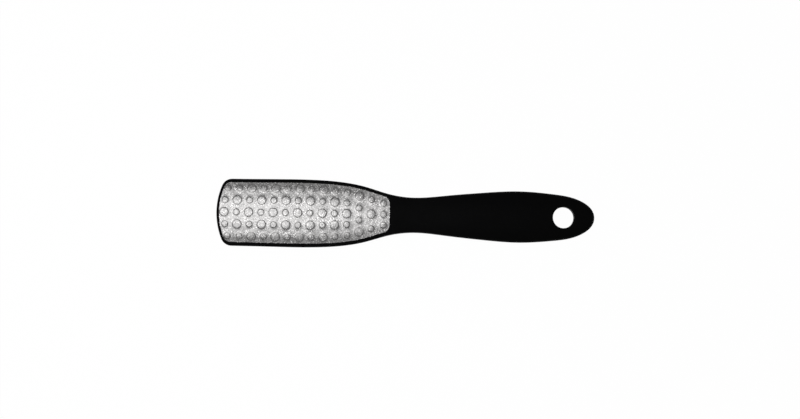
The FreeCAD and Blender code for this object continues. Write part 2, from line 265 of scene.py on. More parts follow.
def paper_sweep(height):
    """A round sheet that lies flat at a height and sweeps up into a wall all round."""
    profile = [(0.0, 0.0), (SWEEP_FLAT, 0.0)]
    for i in range(1, SWEEP_STEPS + 1):
        turn = math.pi / 2 * i / SWEEP_STEPS
        rise = SWEEP_CURVE * (1 - math.cos(turn))
        profile.append((SWEEP_FLAT + SWEEP_CURVE * math.sin(turn), rise))
    profile.append((SWEEP_FLAT + SWEEP_CURVE, SWEEP_CURVE + SWEEP_WALL))
    sheet = bmesh.new()
    line = [sheet.verts.new((away, 0, height + up)) for away, up in profile]
    edges = [sheet.edges.new(pair) for pair in zip(line, line[1:])]
    bmesh.ops.spin(
        sheet, geom=line + edges, cent=(0, 0, 0), axis=(0, 0, 1), angle=2 * math.pi, steps=SWEEP_SIDES
    )
    bmesh.ops.remove_doubles(sheet, verts=sheet.verts, dist=MM)
    bmesh.ops.recalc_face_normals(sheet, faces=sheet.faces)
    if sum(face.normal.z for face in sheet.faces) < 0:
        bmesh.ops.reverse_faces(sheet, faces=sheet.faces)
    mesh = bpy.data.meshes.new("paper_sweep")
    sheet.to_mesh(mesh)
    sheet.free()
    mesh.shade_smooth()
    mesh.materials.append(WHITE_PAPER)
    paper = bpy.data.objects.new("paper_sweep", mesh)
    bpy.context.collection.objects.link(paper)
    return paper


paper_sweep(cad_low.z)
print(f"paper at {cad_low.z / MM:.2f} mm")

# %% [markdown]
# Two effects that several finishes share
#
# Close up, no factory surface is even. Fine grain is the texture of the tool that shaped the
# piece: the blasted inside of a mould, or the frosting of a plated coat. Handling is what use
# adds: broad, soft patches where skin oil lies or where rubbing has polished the piece. Each is a
# node group with named inputs, placed in a material with the values of that material.

# %% Fine grain
SWELL_SCALE = 0.12


def start_group(name, inputs, outputs):
    """A shader node group with named number inputs and outputs, and its two end nodes."""
    group = bpy.data.node_groups.new(name, "ShaderNodeTree")
    group.interface.new_socket("Place", in_out="INPUT", socket_type="NodeSocketVector")
    for label, value in inputs.items():
        socket = group.interface.new_socket(label, in_out="INPUT", socket_type="NodeSocketFloat")
        socket.default_value = value
    for label in outputs:
        group.interface.new_socket(label, in_out="OUTPUT", socket_type="NodeSocketFloat")
    return group, group.nodes.new("NodeGroupInput"), group.nodes.new("NodeGroupOutput")


def fine_grain_group():
    """Pebbled height from 0 to 1 at a pitch in metres, with a coarser unevenness mixed in."""
    inputs = {"Pitch": 0.3 * MM, "Unevenness": 0.35}
    group, given, made = start_group("fine_grain", inputs, ["Height", "Mottle"])
    scale = math_node(group, "DIVIDE", 1.0, given.outputs["Pitch"])
    pebbles = add(group, "ShaderNodeTexNoise", values={"Detail": 2.0, "Roughness": 0.55})
    swells = add(group, "ShaderNodeTexNoise", values={"Detail": 3.0, "Roughness": 0.6})
    group.links.new(given.outputs["Place"], pebbles.inputs["Vector"])
    group.links.new(given.outputs["Place"], swells.inputs["Vector"])
    group.links.new(scale, pebbles.inputs["Scale"])
    group.links.new(math_node(group, "MULTIPLY", scale, SWELL_SCALE), swells.inputs["Scale"])
    mixed = add(group, "ShaderNodeMix")
    group.links.new(given.outputs["Unevenness"], mixed.inputs["Factor"])
    group.links.new(pebbles.outputs["Fac"], mixed.inputs["A"])
    group.links.new(swells.outputs["Fac"], mixed.inputs["B"])
    group.links.new(mixed.outputs["Result"], made.inputs["Height"])
    group.links.new(swells.outputs["Fac"], made.inputs["Mottle"])
    return group


FINE_GRAIN = fine_grain_group()
print("shared effect:", FINE_GRAIN.name)

# %% Handling
PATCH_SOFTNESS = 0.15


def handling_group():
    """Mask of soft patches, about a size in metres across, that use has left on a surface."""
    group, given, made = start_group("handling", {"Patch": 18 * MM, "Cover": 0.5}, ["Mask"])
    scale = math_node(group, "DIVIDE", 1.0, given.outputs["Patch"])
    cloudy = {"Detail": 4.0, "Roughness": 0.55, "Distortion": 0.6}
    patches = add(group, "ShaderNodeTexNoise", values=cloudy)
    group.links.new(given.outputs["Place"], patches.inputs["Vector"])
    group.links.new(scale, patches.inputs["Scale"])
    bare = math_node(group, "SUBTRACT", 1.0, given.outputs["Cover"])
    band = add(group, "ShaderNodeMapRange", {"interpolation_type": "SMOOTHSTEP"})
    group.links.new(patches.outputs["Fac"], band.inputs["Value"])
    group.links.new(math_node(group, "SUBTRACT", bare, PATCH_SOFTNESS), band.inputs["From Min"])
    group.links.new(math_node(group, "ADD", bare, PATCH_SOFTNESS), band.inputs["From Max"])
    group.links.new(band.outputs["Result"], made.inputs["Mask"])
    return group


HANDLING = handling_group()
print("shared effect:", HANDLING.name)


# %% Helpers for finishes
def place_group(tree, group, place, values):
    """A shared effect set into a material with that material's own values."""
    node = add(tree, "ShaderNodeGroup", {"node_tree": group}, values)
    tree.links.new(place, node.inputs["Place"])
    return node


def between(tree, factor, low, high):
    """A number, or a colour given as three numbers, that a factor moves from low to high."""
    node = add(tree, "ShaderNodeMix", {"data_type": "RGBA" if isinstance(low, tuple) else "FLOAT"})
    sockets = [s for s in node.inputs if s.enabled]
    ends = ((*low, 1), (*high, 1)) if isinstance(low, tuple) else (low, high)
    tree.links.new(factor, sockets[0])
    for socket, end in zip(sockets[1:], ends):
        socket.default_value = end
    return next(s for s in node.outputs if s.enabled)


def rough_normal(tree, height, depth, strength):
    """Normal bent by a height from 0 to 1 that is a depth in metres tall."""
    bump = add(tree, "ShaderNodeBump", values={"Strength": strength, "Distance": depth})
    tree.links.new(height, bump.inputs["Height"])
    return bump.outputs["Normal"]


# %% [markdown]
# The black shells
#
# The shells are moulded in black plastic with a fine matt texture, which hides finger marks. It is
# nearly black even under the light: only a faint sheen shows how the faces turn. The frame's own
# meshes have the true shape, so they stay, and only their material is made here.

# %% Moulded plastic
BLACK_LOW = (0.0008, 0.0008, 0.0009)
BLACK_HIGH = (0.0018, 0.0018, 0.0019)
PLASTIC_ROUGHNESS = 0.56
PLASTIC_POLISHED = 0.44
PLASTIC_GLOSS = 0.025
MOULD_TEXTURE_DEPTH = 0.02 * MM
MOULD_TEXTURE_STRENGTH = 0.5


def plastic_material():
    """Matt black plastic with a blasted mould's texture and a little polish from the hand."""
    material, tree, shader, place = start_material("black_plastic")
    grain = place_group(tree, FINE_GRAIN, place, {"Pitch": 0.35 * MM, "Unevenness": 0.3})
    held = place_group(tree, HANDLING, place, {"Patch": 22 * MM, "Cover": 0.5})
    black = between(tree, grain.outputs["Mottle"], BLACK_LOW, BLACK_HIGH)
    rough = between(tree, held.outputs["Mask"], PLASTIC_ROUGHNESS, PLASTIC_POLISHED)
    texture = rough_normal(tree, grain.outputs["Height"], MOULD_TEXTURE_DEPTH, MOULD_TEXTURE_STRENGTH)
    tree.links.new(black, shader.inputs["Base Color"])
    tree.links.new(rough, shader.inputs["Roughness"])
    tree.links.new(texture, shader.inputs["Normal"])
    shader.inputs["Specular IOR Level"].default_value = PLASTIC_GLOSS
    return material


BLACK_PLASTIC = plastic_material()


def finish_node(name, material):
    """Gives a piece of the frame its finish."""
    slots = frame["nodes"][name].data.materials
    slots.clear()
    slots.append(material)


for shell in ("front_shell", "rear_shell"):
    finish_node(shell, BLACK_PLASTIC)
    print(shell, "in", BLACK_PLASTIC.name)

# %% [markdown]
# The adhesive pads
#
# Each plate is held by a sheet of double-sided film. It is hidden once the tool is put together,
# but whoever takes the part apart sees it: a dull grey film, cloudy where the glue is thicker.

# %% Adhesive film
FILM_THIN = (0.30, 0.29, 0.27)
FILM_THICK = (0.42, 0.41, 0.38)
FILM_THIN_ROUGHNESS = 0.38
FILM_THICK_ROUGHNESS = 0.55
FILM_TEXTURE_DEPTH = 0.02 * MM
FILM_TEXTURE_STRENGTH = 0.4


def film_material():
    """Cloudy grey film with a slightly tacky, uneven gloss."""
    material, tree, shader, place = start_material("adhesive_film")
    cloud = place_group(tree, HANDLING, place, {"Patch": 6 * MM, "Cover": 0.5})
    grain = place_group(tree, FINE_GRAIN, place, {"Pitch": 0.5 * MM, "Unevenness": 0.5})
    grey = between(tree, cloud.outputs["Mask"], FILM_THIN, FILM_THICK)
    rough = between(tree, cloud.outputs["Mask"], FILM_THIN_ROUGHNESS, FILM_THICK_ROUGHNESS)
    texture = rough_normal(tree, grain.outputs["Height"], FILM_TEXTURE_DEPTH, FILM_TEXTURE_STRENGTH)
    tree.links.new(grey, shader.inputs["Base Color"])
    tree.links.new(rough, shader.inputs["Roughness"])
    tree.links.new(texture, shader.inputs["Normal"])
    return material


ADHESIVE_FILM = film_material()
for pad in ("front_adhesive_pad", "rear_adhesive_pad"):
    finish_node(pad, ADHESIVE_FILM)
    print(pad, "in", ADHESIVE_FILM.name)

# %% [markdown]
# The plated metal
#
# Both plates are nickel-plated steel over bonded grit, which leaves a frosted grey metal rather
# than a mirror. The coat is a little yellower than steel, and it is thicker on some grains than on
# others, so no two are equally bright. Halfway up the shoulder of each bump the coat is painted
# darker: a little dust, but mostly painted shade for the dark ring round each bump. The mesh says
# where: each grain carries its tone, and each point how far the press has raised it.

# %% Nickel
# Painted shade with a little dust: each bump's shoulder is darkened halfway up, towards the second
# grey.
NO_DUST_OR_SHADE = (1.0, 1.0, 1.0)
DUST_AND_SHADE_GREY = (0.42, 0.415, 0.41)
HALFWAY_UP = 0.5
RUBBED_SMOOTHER = 0.08
FROST_DEPTH = 0.012 * MM
FROST_STRENGTH = 0.6


def nickel_material(name, dull, bright, rough):
    """Frosted nickel between two greys, with painted shade and dust halfway up each bump's shoulder.
    """
    material, tree, shader, place = start_material(name)
    grain = place_group(tree, FINE_GRAIN, place, {"Pitch": 0.16 * MM, "Unevenness": 0.4})
    worn = place_group(tree, HANDLING, place, {"Patch": 9 * MM, "Cover": 0.5})
    raised = add(tree, "ShaderNodeAttribute", {"attribute_name": "raised"}).outputs["Fac"]
    tone = add(tree, "ShaderNodeAttribute", {"attribute_name": "tone"}).outputs["Fac"]
    coat = between(tree, tone, dull, bright)
    # Painted shade and a little dust, strongest halfway up each bump's shoulder.
    lowness = math_node(tree, "SUBTRACT", 1.0, raised)
    corner = math_node(tree, "MULTIPLY", raised, lowness)
    corner = math_node(tree, "MULTIPLY", corner, 1 / HALFWAY_UP**2)
    dust_and_shade = between(tree, corner, NO_DUST_OR_SHADE, DUST_AND_SHADE_GREY)
    dust_and_shade_coat = add(tree, "ShaderNodeMix", {"data_type": "RGBA", "blend_type": "MULTIPLY"})
    sockets = [s for s in dust_and_shade_coat.inputs if s.enabled]
    sockets[0].default_value = 1.0
    tree.links.new(coat, sockets[1])
    tree.links.new(dust_and_shade, sockets[2])
    gloss = between(tree, worn.outputs["Mask"], rough, rough - RUBBED_SMOOTHER)
    frost = rough_normal(tree, grain.outputs["Height"], FROST_DEPTH, FROST_STRENGTH)
    tree.links.new(next(s for s in dust_and_shade_coat.outputs if s.enabled), shader.inputs["Base Color"])
    tree.links.new(gloss, shader.inputs["Roughness"])
    tree.links.new(frost, shader.inputs["Normal"])
    shader.inputs["Metallic"].default_value = 1.0
    return material


COARSE_DULL = (0.26, 0.2565, 0.255)
COARSE_BRIGHT = (0.69, 0.682, 0.678)
COARSE_ROUGHNESS = 0.31
FINE_DULL = (0.34, 0.336, 0.332)
FINE_BRIGHT = (0.70, 0.694, 0.688)
FINE_ROUGHNESS = 0.42
COARSE_NICKEL = nickel_material("coarse_grit_nickel", COARSE_DULL, COARSE_BRIGHT, COARSE_ROUGHNESS)
FINE_NICKEL = nickel_material("fine_grit_nickel", FINE_DULL, FINE_BRIGHT, FINE_ROUGHNESS)
print("plated metals:", COARSE_NICKEL.name, "and", FINE_NICKEL.name)

# %% [markdown]
# A plate's blank
#
# A press starts from a flat blank, cut to its outline, and so does this: the outline is read from
# the frame's plain rear plate, whose coarse twin has the same edge, and laid out flat. The radius
# that it is rolled to follows from the same points, because they all lie on one circle when seen
# from the end.

# %% Outline of the blank
WELD = 0.002 * MM
FACES_DOWN = -0.7


def outer_loop(node):
    """Points in order round the edge of the face that a plate turns down."""
    sheet = bmesh.new()
    sheet.from_mesh(frame["nodes"][node].data)
    bmesh.ops.remove_doubles(sheet, verts=sheet.verts, dist=WELD)
    sheet.normal_update()
    outer = {face for face in sheet.faces if face.normal.z < FACES_DOWN}
    beside = {}
    for edge in sheet.edges:
        if sum(face in outer for face in edge.link_faces) == 1:
            first, second = edge.verts
            beside.setdefault(first, []).append(second)
            beside.setdefault(second, []).append(first)
    start = next(iter(beside))
    loop = [start, beside[start][0]]
    while True:
        ahead = next(vert for vert in beside[loop[-1]] if vert is not loop[-2])
        if ahead is start:
            break
        loop.append(ahead)
    points = [vert.co.copy() for vert in loop]
    sheet.free()
    return points


plate_low, plate_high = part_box("rear_file_plate")
edge_points = outer_loop("rear_file_plate")
widest = max(edge_points, key=lambda p: p.y)
widest_rise = widest.z - plate_low.z
CROWN = (widest.y**2 + widest_rise**2) / (2 * widest_rise)


def flattened(y):
    """Distance from the middle line, along the curved sheet, of a point seen at y from above."""
    return CROWN * math.asin(y / CROWN)


def from_above(y):
    """Distance from the middle line, seen from above, of a point at y on the flat blank."""
    return CROWN * math.sin(y / CROWN)


OUTLINE = [Vector((p.x, flattened(p.y))) for p in edge_points]
print(f"{len(OUTLINE)} points round the plate, rolled to a radius of {CROWN / MM:.2f} mm")

# %% [markdown]
# Where the bumps stand
#
# Large and small bumps take turns, in columns of five across the plate. The first column bows with
# the nose, and each later one is straighter. Where the plate narrows, the columns close up and lose
# bumps. A word for each column, L for a large bump and s for a small one, says more to a reader
# than a list of places.

# %% Bump layout
BUMP_COLUMNS = (
    "ssLss", "sLsLs", "LsLsL", "sLsLs", "LsLsL", "sLsLs", "LsLsL",
    "sLsLs", "LsLsL", "sLsLs", "ssLss", "LssL", "sLs", "sss",
)
FIRST_COLUMN_AT = 5.1 * MM
BUMP_PITCH = 8.1 * MM
COLUMN_BOW_RADIUS = 57.0 * MM
BUMP_EDGE_MARGIN = 4.0 * MM
SHORT_COLUMN_MARGIN = 4.9 * MM
FULL_COLUMN = max(len(column) for column in BUMP_COLUMNS)
LARGE_BUMP = 5.8 * MM
SMALL_BUMP = 4.2 * MM
CORNER_REACH = 8.0 * MM


def half_width(x):
    """Half width of the flat blank at a distance along the tool."""
    crossings = []
    for start, end in zip(OUTLINE, OUTLINE[1:] + OUTLINE[:1]):
        if min(start.x, end.x) <= x <= max(start.x, end.x) and start.x != end.x:
            share = (x - start.x) / (end.x - start.x)
            crossings.append(start.y + (end.y - start.y) * share)
    return max(crossings)


def bump_places():
    """Place on the flat blank, and radius, of each bump."""
    places = []
    for i, column in enumerate(BUMP_COLUMNS):
        at = cad_low.x + FIRST_COLUMN_AT + i * BUMP_PITCH
        past_corners = max(at, plate_low.x + CORNER_REACH)
        margin = BUMP_EDGE_MARGIN if len(column) == FULL_COLUMN else SHORT_COLUMN_MARGIN
        outermost = from_above(half_width(past_corners)) - margin
        bow = (1 - i / (len(BUMP_COLUMNS) - 1)) / (2 * COLUMN_BOW_RADIUS)
        for j, size in enumerate(column):
            y = outermost * (2 * j / (len(column) - 1) - 1)
            radius = (LARGE_BUMP if size == "L" else SMALL_BUMP) / 2
            places.append((Vector((at + bow * y**2, flattened(y))), radius))
    return places


BUMPS = bump_places()
print(f"{len(BUMPS)} bumps, {sum(r == LARGE_BUMP / 2 for _, r in BUMPS)} of them large")

# %% [markdown]
# The blank as a mesh
#
# A press bends the sheet, so the mesh needs points where the metal turns: rings round each bump,
# close together on its shoulder and wider apart on the low skirt that the metal is drawn up from.
# A fine grid all over would do as well, but most of its faces would lie where nothing bends, so a
# plain lattice fills the ground between the bumps. A Delaunay fill joins all these points within
# the outline, without a thought for rows and columns.

# %% Rings round a bump
PRESS_SKIRT = 1.5 * MM
PRESS_FLARE = 0.30 * MM
PRESS_SHOULDER = 0.45 * MM
SKIRT_RINGS = 3
SHOULDER_RINGS = 6


def ring_radii(radius):
    """Radii of the rings of points that a bump needs, from its skirt in to its flat top."""
    skirt_step = (PRESS_SKIRT - PRESS_FLARE) / SKIRT_RINGS
    turn = (PRESS_FLARE + PRESS_SHOULDER) / (SHOULDER_RINGS - 1)
    skirt = [radius + PRESS_SKIRT - skirt_step * i for i in range(SKIRT_RINGS)]
    return skirt + [radius + PRESS_FLARE - turn * i for i in range(SHOULDER_RINGS)]


large_rings = ring_radii(LARGE_BUMP / 2)
print("rings of a large bump in millimetres:", [round(r / MM, 2) for r in large_rings])

# %% Points on the blank
EDGE_CLEARANCE = 0.4 * MM
RING_POINTS = 30
LATTICE = 1.6 * MM


def from_edge(point):
    """How far a point of the blank lies from its outline."""
    nearest = []
    for start, end in zip(OUTLINE, OUTLINE[1:] + OUTLINE[:1]):
        along = end - start
        share = min(1.0, max(0.0, (point - start).dot(along) / along.length_squared))
        nearest.append((point - start - along * share).length)
    return min(nearest)


def on_blank(point):
    """Whether a point lies within the outline and clear of it."""
    between_ends = plate_low.x < point.x < plate_high.x
    return between_ends and abs(point.y) < half_width(point.x) and from_edge(point) > EDGE_CLEARANCE


def bump_points(centre, radius):
    """Points on a bump's rings, as far as they lie on the blank, and one in its middle."""
    points = [centre]
    for ring in ring_radii(radius):
        for k in range(RING_POINTS):
            turn = 2 * math.pi * k / RING_POINTS
            point = centre + Vector((math.cos(turn), math.sin(turn))) * ring
            if ring < radius or on_blank(point):
                points.append(point)
    return points


def lattice_points(bumps):
    """A staggered lattice over the blank that keeps clear of its edge and its bumps."""
    row_step = LATTICE * math.sqrt(3) / 2
    reach = max(p.y for p in OUTLINE)
    points = []
    for row in range(int((plate_high.x - plate_low.x) / row_step)):
        x = plate_low.x + row * row_step
        for k in range(-int(reach / LATTICE) - 1, int(reach / LATTICE) + 2):
            point = Vector((x, (k + row % 2 / 2) * LATTICE))
            clear = all((point - c).length > r + PRESS_SKIRT + LATTICE / 4 for c, r in bumps)
            if clear and on_blank(point):
                points.append(point)
    return points


# %% Flat mesh of the blank
FILL_INSIDE = 1
FILL_TOLERANCE = 1e-5


def flat_blank(name, bumps, facing):
    """The blank as a flat mesh whose faces turn up, facing 1, or down, facing -1."""
    points = list(OUTLINE)
    for centre, radius in bumps:
        points += bump_points(centre, radius)
    points += lattice_points(bumps)
    edge_loop = [list(range(len(OUTLINE)))]
    in_millimetres = [p / MM for p in points]
    filled = delaunay_2d_cdt(in_millimetres, [], edge_loop, FILL_INSIDE, FILL_TOLERANCE)
    verts = [(p.x * MM, p.y * MM, 0) for p in filled[0]]
    faces = [face[::facing] for face in filled[2]]
    mesh = bpy.data.meshes.new(name)
    mesh.from_pydata(verts, [], faces)
    blank = bpy.data.objects.new(name, mesh)
    bpy.context.collection.objects.link(blank)
    print(f"{name}: {len(verts)} points, {len(faces)} triangles")
    return blank


# %% [markdown]
# Pressing and rolling, as a node tree
#
# Bumps could be modelled one by one and joined on, but in a pressed sheet the metal flows into them
# without a seam. So one tree does what the tool shop does in two strokes. It presses: a point near
# a bump's mark rises, first on a low skirt and then on an S-shaped shoulder, and keeps a note of
# how far up the shoulder it is. Then it rolls: the distance from the middle line becomes a turn
# round the crown's axis. Its sizes are inputs, so the same tree makes the plain rear plate, with no
# height to press.

# %% Helpers for geometry trees
def start_tree(name, inputs):
    """A geometry node tree with named inputs, and its two end nodes."""
    tree = bpy.data.node_groups.new(name, "GeometryNodeTree")
    tree.interface.new_socket("Geometry", in_out="INPUT", socket_type="NodeSocketGeometry")
    for label, kind in inputs.items():
        tree.interface.new_socket(label, in_out="INPUT", socket_type=f"NodeSocket{kind}")
    tree.interface.new_socket("Geometry", in_out="OUTPUT", socket_type="NodeSocketGeometry")
    return tree, tree.nodes.new("NodeGroupInput"), tree.nodes.new("NodeGroupOutput")


def end_tree(tree, geometry, given, made):
    """Closes a tree: instances become real meshes and take the piece's material."""
    real = add(tree, "GeometryNodeRealizeInstances")
    coat = add(tree, "GeometryNodeSetMaterial")
    tree.links.new(geometry, real.inputs["Geometry"])
    tree.links.new(real.outputs["Geometry"], coat.inputs["Geometry"])
    tree.links.new(given.outputs["Material"], coat.inputs["Material"])
    tree.links.new(coat.outputs["Geometry"], made.inputs["Geometry"])
    return tree


def noted_number(tree, name):
    """A number that the geometry carries under a name."""
    node = add(tree, "GeometryNodeInputNamedAttribute", {"data_type": "FLOAT"}, {"Name": name})
    return node.outputs["Attribute"]


def store(tree, geometry, domain, name, value):
    """Geometry that carries a named number on each element of a domain."""
    settings = {"data_type": "FLOAT", "domain": domain}
    node = add(tree, "GeometryNodeStoreNamedAttribute", settings, {"Name": name})
    tree.links.new(geometry, node.inputs["Geometry"])
    tree.links.new(value, node.inputs["Value"])
    return node.outputs["Geometry"]


# %% First stroke, pressing
def sample_mark(tree, marks, index, value, kind):
    """A value of the bump mark that is nearest to each point."""
    node = add(tree, "GeometryNodeSampleIndex", {"data_type": kind, "domain": "POINT"})
    tree.links.new(marks, node.inputs["Geometry"])
    tree.links.new(value, node.inputs["Value"])
    tree.links.new(index, node.inputs["Index"])
    return node.outputs["Value"]


def slope(tree, away, foot, top):
    """An S-shaped rise from 0 at a foot's distance from the mark to 1 at the top's."""
    node = add(tree, "ShaderNodeMapRange", {"interpolation_type": "SMOOTHSTEP"})
    tree.links.new(away, node.inputs["Value"])
    tree.links.new(foot, node.inputs["From Min"])
    tree.links.new(top, node.inputs["From Max"])
    return node.outputs["Result"]


def rises(tree, given, point):
    """How far up the skirt and the shoulder of the nearest bump each point is, from 0 to 1."""
    marks = add(tree, "GeometryNodeObjectInfo")
    tree.links.new(given.outputs["Marks"], marks.inputs["Object"])
    marks = marks.outputs["Geometry"]
    nearest = add(tree, "GeometryNodeSampleNearest", {"domain": "POINT"})
    tree.links.new(marks, nearest.inputs["Geometry"])
    index = nearest.outputs["Index"]
    radius = sample_mark(tree, marks, index, noted_number(tree, "radius"), "FLOAT")
    centre = sample_mark(tree, marks, index, point, "FLOAT_VECTOR")
    away = add(tree, "ShaderNodeVectorMath", {"operation": "DISTANCE"})
    tree.links.new(point, away.inputs[0])
    tree.links.new(centre, away.inputs[1])
    away = away.outputs["Value"]
    skirt_foot = math_node(tree, "ADD", radius, given.outputs["Skirt"])
    shoulder_foot = math_node(tree, "ADD", radius, given.outputs["Flare"])
    shoulder_top = math_node(tree, "SUBTRACT", radius, given.outputs["Shoulder"])
    skirt = slope(tree, away, skirt_foot, radius)
    shoulder = slope(tree, away, shoulder_foot, shoulder_top)
    return skirt, shoulder


# %% Second stroke, rolling
def rolled(tree, given, point, height):
    """Place of each point, standing a height off the sheet, once the sheet is rolled."""
    flat = add(tree, "ShaderNodeSeparateXYZ")
    tree.links.new(point, flat.inputs["Vector"])
    turn = math_node(tree, "DIVIDE", flat.outputs["Y"], given.outputs["Crown"])
    reach = math_node(tree, "ADD", given.outputs["Crown"], height)
    sideways = math_node(tree, "MULTIPLY", reach, math_node(tree, "SINE", turn))
    upward = math_node(tree, "MULTIPLY", reach, math_node(tree, "COSINE", turn))
    lifted = math_node(tree, "MULTIPLY", upward, given.outputs["Facing"])
    place = add(tree, "ShaderNodeCombineXYZ")
    tree.links.new(flat.outputs["X"], place.inputs["X"])
    tree.links.new(sideways, place.inputs["Y"])
    tree.links.new(math_node(tree, "ADD", lifted, given.outputs["Axis Height"]), place.inputs["Z"])
    return place.outputs["Vector"]


# %% Press tree
def press_tree():
    """Presses bumps into a flat blank at its marks, then rolls it to its crown."""
    inputs = {
        "Marks": "Object", "Shoulder Height": "Float", "Skirt Height": "Float", "Skirt": "Float",
        "Flare": "Float", "Shoulder": "Float", "Crown": "Float", "Axis Height": "Float",
        "Facing": "Float", "Material": "Material",
    }
    tree, given, made = start_tree("press_and_roll", inputs)
    point = add(tree, "GeometryNodeInputPosition").outputs["Position"]
    skirt, shoulder = rises(tree, given, point)
    pressed = math_node(tree, "SIGN", given.outputs["Shoulder Height"])
    raised = math_node(tree, "MULTIPLY", shoulder, pressed)
    noted = store(tree, given.outputs["Geometry"], "POINT", "raised", raised)
    on_shoulder = math_node(tree, "MULTIPLY", shoulder, given.outputs["Shoulder Height"])
    on_skirt = math_node(tree, "MULTIPLY", skirt, given.outputs["Skirt Height"])
    height = math_node(tree, "ADD", on_shoulder, on_skirt)
    move = add(tree, "GeometryNodeSetPosition")
    tree.links.new(noted, move.inputs["Geometry"])
    tree.links.new(rolled(tree, given, point, height), move.inputs["Position"])
    smooth = add(tree, "GeometryNodeSetShadeSmooth")
    tree.links.new(move.outputs["Geometry"], smooth.inputs["Geometry"])
    return end_tree(tree, smooth.outputs["Geometry"], given, made)


PRESS = press_tree()
print("press tree with", len(PRESS.nodes), "nodes")

# %% [markdown]
# Running a tree
#
# A node tree works as a modifier, and its inputs are set by their identifiers. What comes out is
# then kept as a plain mesh, and the modifier goes, so that the finished piece depends on nothing.

# %% Run and bake
def bake(piece):
    """Keeps what a piece's modifiers make as its plain mesh."""
    graph = bpy.context.evaluated_depsgraph_get()
    mesh = bpy.data.meshes.new_from_object(
        piece.evaluated_get(graph), preserve_all_data_layers=True, depsgraph=graph
    )
    mesh.name = piece.name
    piece.modifiers.clear()
    piece.data = mesh
    return piece


def run_tree(piece, tree, values):
    """Runs a tree on a piece with these inputs, and bakes it."""
    modifier = piece.modifiers.new(tree.name, "NODES")
    modifier.node_group = tree
    for socket in tree.interface.items_tree:
        if socket.in_out == "INPUT" and socket.name in values:
            modifier[socket.identifier] = values[socket.name]
    return bake(piece)


def mark_object(bumps):
    """Loose points that mark the bumps for the press, each with its radius."""
    mesh = bpy.data.meshes.new("bump_marks")
    mesh.from_pydata([(c.x, c.y, 0) for c, _ in bumps], [], [])
    radii = mesh.attributes.new("radius", "FLOAT", "POINT")
    radii.data.foreach_set("value", [r for _, r in bumps])
    marks = bpy.data.objects.new("bump_marks", mesh)
    bpy.context.collection.objects.link(marks)
    return marks


# %% [markdown]
# Grit, as a node tree
#
# Grit is scattered over the sheet while its glue is wet, and the plating then locks it in. A texture
# could imitate it, but only real grains catch the light one by one. They never lie on top of each
# other, so the points keep a least distance. Each carries one blunt crystal of a few faces, turned
# and leaned at random. The leaning matters most: it sends the light a different way from each
# grain, and that is the sparkle. The tree takes the pressed sheet and gives back grains alone.

# %% One grain
GRAIN_SINK = 0.4
CORNER_SHIFT = 0.2
FOOT_RADIUS = (0.50, 0.58)
CROWN_RADIUS = (0.38, 0.46)
CROWN_HEIGHT = (0.7, 0.95)
TIP_SHIFT = 0.08


def grain_object(sides, seed):
    """A blunt crystal about one unit across and tall, whose open foot sinks into the sheet."""
    draw = random.Random(seed)
    crystal = bmesh.new()
    foot = []
    crown = []
    for k in range(sides):
        turn = 2 * math.pi * (k + draw.uniform(-CORNER_SHIFT, CORNER_SHIFT)) / sides
        out = Vector((math.cos(turn), math.sin(turn), 0))
        low = out * draw.uniform(*FOOT_RADIUS)
        low.z = -GRAIN_SINK
        high = out * draw.uniform(*CROWN_RADIUS)
        high.z = draw.uniform(*CROWN_HEIGHT)
        foot.append(crystal.verts.new(low))
        crown.append(crystal.verts.new(high))
    shift = [draw.uniform(-TIP_SHIFT, TIP_SHIFT) for _ in range(2)]
    tip = crystal.verts.new((*shift, 1.0))
    for k in range(sides):
        ahead = (k + 1) % sides
        crystal.faces.new((foot[k], foot[ahead], crown[ahead], crown[k]))
        crystal.faces.new((crown[k], crown[ahead], tip))
    mesh = bpy.data.meshes.new("grain")
    crystal.to_mesh(mesh)
    crystal.free()
    grain = bpy.data.objects.new("grain", mesh)
    bpy.context.collection.objects.link(grain)
    print(f"grain of {len(mesh.polygons)} faces")
    return grain


# %% How one grain differs from the next
def random_value(tree, low, high, seed):
    """A random number for each point, between two numbers or sockets."""
    node = add(tree, "FunctionNodeRandomValue", {"data_type": "FLOAT"})
    sockets = [s for s in node.inputs if s.enabled]
    for socket, end in zip(sockets[:2], (low, high)):
        if isinstance(end, bpy.types.NodeSocket):
            tree.links.new(end, socket)
        else:
            socket.default_value = end
    tree.links.new(seed, node.inputs["Seed"])
    return next(s for s in node.outputs if s.enabled)


def leaning(tree, given, upright, seed_x, seed_y, seed_turn):
    """Rotation of each grain, which stands upright on the sheet, then turns and leans a little."""
    lean_high = given.outputs["Lean"]
    lean_low = math_node(tree, "MULTIPLY", lean_high, -1.0)
    lean = add(tree, "ShaderNodeCombineXYZ")
    tree.links.new(random_value(tree, lean_low, lean_high, seed_x), lean.inputs["X"])
    tree.links.new(random_value(tree, lean_low, lean_high, seed_y), lean.inputs["Y"])
    tree.links.new(random_value(tree, 0.0, 2 * math.pi, seed_turn), lean.inputs["Z"])
    leaned = add(tree, "FunctionNodeEulerToRotation")
    tree.links.new(lean.outputs["Vector"], leaned.inputs["Euler"])
    stand = add(tree, "FunctionNodeRotateRotation", {"rotation_space": "LOCAL"})
    tree.links.new(upright, stand.inputs["Rotation"])
    tree.links.new(leaned.outputs["Rotation"], stand.inputs["Rotate By"])
    return stand.outputs["Rotation"]


def sizing(tree, given, seed):
    """Scale of each grain, from its full width and height down by up to the spread."""
    least = math_node(tree, "SUBTRACT", 1.0, given.outputs["Spread"])
    size = random_value(tree, least, 1.0, seed)
    width = math_node(tree, "MULTIPLY", given.outputs["Width"], size)
    height = math_node(tree, "MULTIPLY", given.outputs["Height"], size)
    scale = add(tree, "ShaderNodeCombineXYZ")
    tree.links.new(width, scale.inputs["X"])
    tree.links.new(width, scale.inputs["Y"])
    tree.links.new(height, scale.inputs["Z"])
    return scale.outputs["Vector"]


# %% Grit tree
CANDIDATES_PER_GRAIN = 4.0


